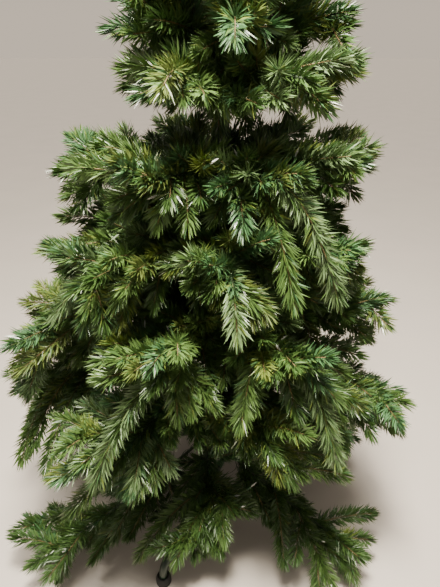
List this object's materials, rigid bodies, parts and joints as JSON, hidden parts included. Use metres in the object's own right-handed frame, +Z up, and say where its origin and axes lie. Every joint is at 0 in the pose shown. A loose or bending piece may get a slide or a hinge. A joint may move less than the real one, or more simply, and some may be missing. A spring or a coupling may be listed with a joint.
{
  "type": "artificial christmas tree",
  "caption": "Full conical artificial christmas tree of drooping needle branches on a straight pole, in a low metal stand with splayed tubular legs.",
  "frame": {"origin": "on the floor, at the middle of the flat underside of the stand's socket", "axes": "+Z up along the tree, -Y towards the front of the picture, +X to the picture's right"},
  "size_m": [1.0593, 0.8941, 1.83],
  "materials": {
    "pole": "satin",
    "stand": "satin",
    "feet": "matt",
    "bough_wire": "matt",
    "needles": "slightly glossy"
  },
  "bodies": {
    "root": {"bough_a1": "bough_wire", "bough_a2": "bough_wire", "bough_a3": "bough_wire", "bough_a4": "bough_wire", "bough_a5": "bough_wire", "bough_a6": "bough_wire", "foliage_a1": "needles", "foliage_a2": "needles", "foliage_a3": "needles", "foliage_a4": "needles", "foliage_a5": "needles", "foliage_a6": "needles", "foliage_b1": "needles", "foliage_b2": "needles", "foliage_b3": "needles", "foliage_b4": "needles", "foliage_b5": "needles", "foliage_b6": "needles", "foliage_c1": "needles", "foliage_c2": "needles", "foliage_c3": "needles", "foliage_c4": "needles", "foliage_c5": "needles", "foliage_c6": "needles", "foliage_d1": "needles", "foliage_d2": "needles", "foliage_d3": "needles", "foliage_d4": "needles", "foliage_d5": "needles", "foliage_d6": "needles", "foliage_e1": "needles", "foliage_e2": "needles", "foliage_e3": "needles", "foliage_e4": "needles", "foliage_e5": "needles", "foliage_e6": "needles", "foliage_f1": "needles", "foliage_f2": "needles", "foliage_f3": "needles", "foliage_f4": "needles", "foliage_f5": "needles", "foliage_g1": "needles", "foliage_g2": "needles", "foliage_g3": "needles", "foliage_g4": "needles", "foliage_h1": "needles", "foliage_h2": "needles", "foliage_h3": "needles", "foliage_h4": "needles", "foliage_top": "needles", "stand_foot_1": "feet", "stand_foot_2": "feet", "stand_foot_3": "feet", "stand_foot_4": "feet", "stand_leg_1": "stand", "stand_leg_2": "stand", "stand_leg_3": "stand", "stand_leg_4": "stand", "stand_socket": "stand", "trunk_pole": "pole"}
  },
  "joints": []
}
